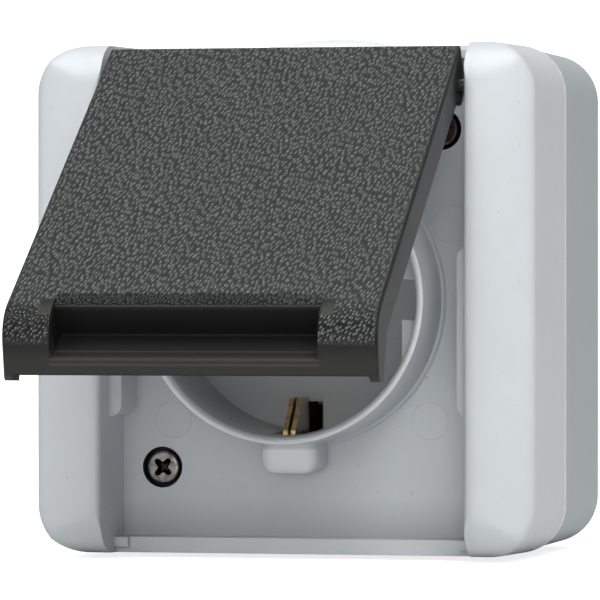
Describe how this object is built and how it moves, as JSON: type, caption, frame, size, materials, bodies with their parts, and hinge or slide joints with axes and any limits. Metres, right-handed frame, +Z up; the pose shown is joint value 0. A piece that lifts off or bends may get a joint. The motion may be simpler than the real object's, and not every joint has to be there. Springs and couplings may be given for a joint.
{
  "type": "outdoor weatherproof socket",
  "caption": "Surface-mounted weatherproof mains socket: a box and crowned cover with a recessed plug cup, earth clips, and a sprung dark lid that hinges up over it.",
  "frame": {"origin": "centre of the box's back face, on the wall", "axes": "+X to the right seen from the front, +Y into the wall, +Z up; the front faces -Y"},
  "size_m": [0.0772, 0.1111, 0.0789],
  "materials": {
    "box_plastic": "satin grey moulding",
    "cover_plastic": "satin grey moulding",
    "lid_plastic": "grained anthracite moulding",
    "carrier_plastic": "pale heat-resistant moulding",
    "dark_rubber": "soft seal",
    "grommet_rubber": "pale soft membrane",
    "zinc_steel": "zinc plated",
    "spring_steel": "bright drawn wire",
    "brass": "machined and stamped brass",
    "clip_brass": "stamped sheet brass"
  },
  "bodies": {
    "housing": {"rear_box": "box_plastic", "box_gasket": "dark_rubber", "cable_grommet": "grommet_rubber", "front_cover": "cover_plastic", "cover_screws": "zinc_steel", "screw_seals": "dark_rubber", "thread_inserts": "brass", "lid_spring": "spring_steel", "contact_carrier": "carrier_plastic", "carrier_back_plate": "carrier_plastic", "line_contact": "brass", "neutral_contact": "brass", "line_terminal": "brass", "neutral_terminal": "brass", "earth_strap": "clip_brass", "earth_terminal": "brass", "terminal_screws": "zinc_steel", "carrier_screws": "zinc_steel", "plate_screws": "zinc_steel"},
    "lid": {"lid": "lid_plastic", "lid_seal": "dark_rubber", "hinge_pins": "zinc_steel"}
  },
  "joints": [
    {"name": "lid_hinge", "type": "hinge", "parent": "housing", "child": "lid", "pos_m": [0, -0.0542, 0.0316], "axis": [-1, 0, 0], "range_deg": [-55.6, 39.4], "stiffness_Nm_per_rad": 0.004, "springref_deg": -55.6, "deforming": ["lid_spring"]}
  ]
}
